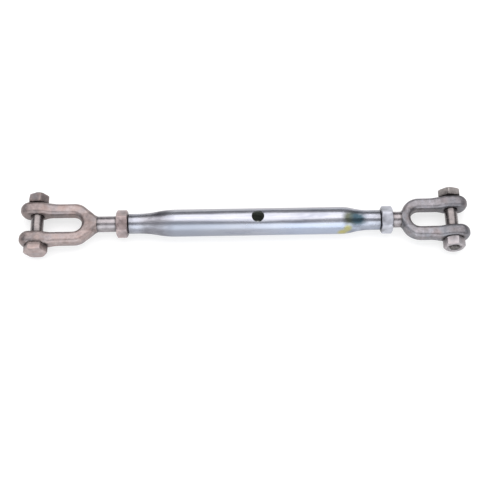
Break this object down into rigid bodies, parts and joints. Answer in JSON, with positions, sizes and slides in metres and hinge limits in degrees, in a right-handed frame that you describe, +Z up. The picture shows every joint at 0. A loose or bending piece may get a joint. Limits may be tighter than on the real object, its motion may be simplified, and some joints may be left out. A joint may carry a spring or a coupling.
{
  "type": "turnbuckle",
  "caption": "Tubular turnbuckle with a swaged body, screwed fork jaws, lock nuts and bolted clevis pins, for setting up a mast's shrouds.",
  "frame": {"origin": "where the tube's axis meets the axis of its cross hole", "axes": "+X along the tube towards the end with the rounder fork, +Z up along the cross hole; both pins lie along Y"},
  "size_m": [0.4496, 0.0682, 0.0276],
  "materials": {
    "tube_zinc": "glossy zinc, streaked lengthwise",
    "jaw_galvanised": "matt hot-dip galvanised forging",
    "nut_galvanised": "matt galvanised",
    "nut_zinc": "bright zinc",
    "pin_bolt": "galvanised, worn bright on the shank",
    "pin_nut": "galvanised, darkened"
  },
  "bodies": {
    "body_tube": {"body_tube": "tube_zinc"},
    "left_jaw": {"left_jaw": "jaw_galvanised"},
    "right_jaw": {"right_jaw": "jaw_galvanised"},
    "left_lock_nut": {"left_lock_nut": "nut_galvanised"},
    "right_lock_nut": {"right_lock_nut": "nut_zinc"},
    "left_pin_bolt": {"left_pin_bolt": "pin_bolt"},
    "right_pin_bolt": {"right_pin_bolt": "pin_bolt"},
    "left_pin_nut": {"left_pin_nut": "pin_nut"},
    "right_pin_nut": {"right_pin_nut": "pin_nut"}
  },
  "joints": [
    {"name": "left_screw_turn", "type": "hinge", "parent": "body_tube", "child": "left_lock_nut", "pos_m": [-0.1296, 0, 0], "axis": [1, 0, 0], "range_deg": [0, 11520]},
    {"name": "left_jaw_travel", "type": "slide", "parent": "left_lock_nut", "child": "left_jaw", "axis": [-1, 0, 0], "range_m": [0, 0.0739]},
    {"name": "left_pin_turn", "type": "hinge", "parent": "left_jaw", "child": "left_pin_bolt", "pos_m": [-0.221, 0, 0], "axis": [0, -1, 0], "range_deg": [0, 2250]},
    {"name": "left_nut_travel", "type": "slide", "parent": "left_jaw", "child": "left_pin_nut", "axis": [0, 1, 0], "range_m": [0, 0.01221]},
    {"name": "right_screw_turn", "type": "hinge", "parent": "body_tube", "child": "right_lock_nut", "pos_m": [0.1228, 0, 0], "axis": [1, 0, 0], "range_deg": [0, 11520]},
    {"name": "right_jaw_travel", "type": "slide", "parent": "right_lock_nut", "child": "right_jaw", "axis": [1, 0, 0], "range_m": [0, 0.0739]},
    {"name": "right_pin_turn", "type": "hinge", "parent": "right_jaw", "child": "right_pin_bolt", "pos_m": [0.194, 0, 0], "axis": [0, 1, 0], "range_deg": [0, 1818]},
    {"name": "right_nut_travel", "type": "slide", "parent": "right_jaw", "child": "right_pin_nut", "axis": [0, -1, 0], "range_m": [0, 0.00987]}
  ],
  "couplings": [
    {"joint": "left_jaw_travel", "follows": "left_screw_turn", "m_per_rad": 0.0003675},
    {"joint": "left_nut_travel", "follows": "left_pin_turn", "m_per_rad": 0.000311},
    {"joint": "right_jaw_travel", "follows": "right_screw_turn", "m_per_rad": 0.0003675},
    {"joint": "right_nut_travel", "follows": "right_pin_turn", "m_per_rad": 0.000311}
  ]
}
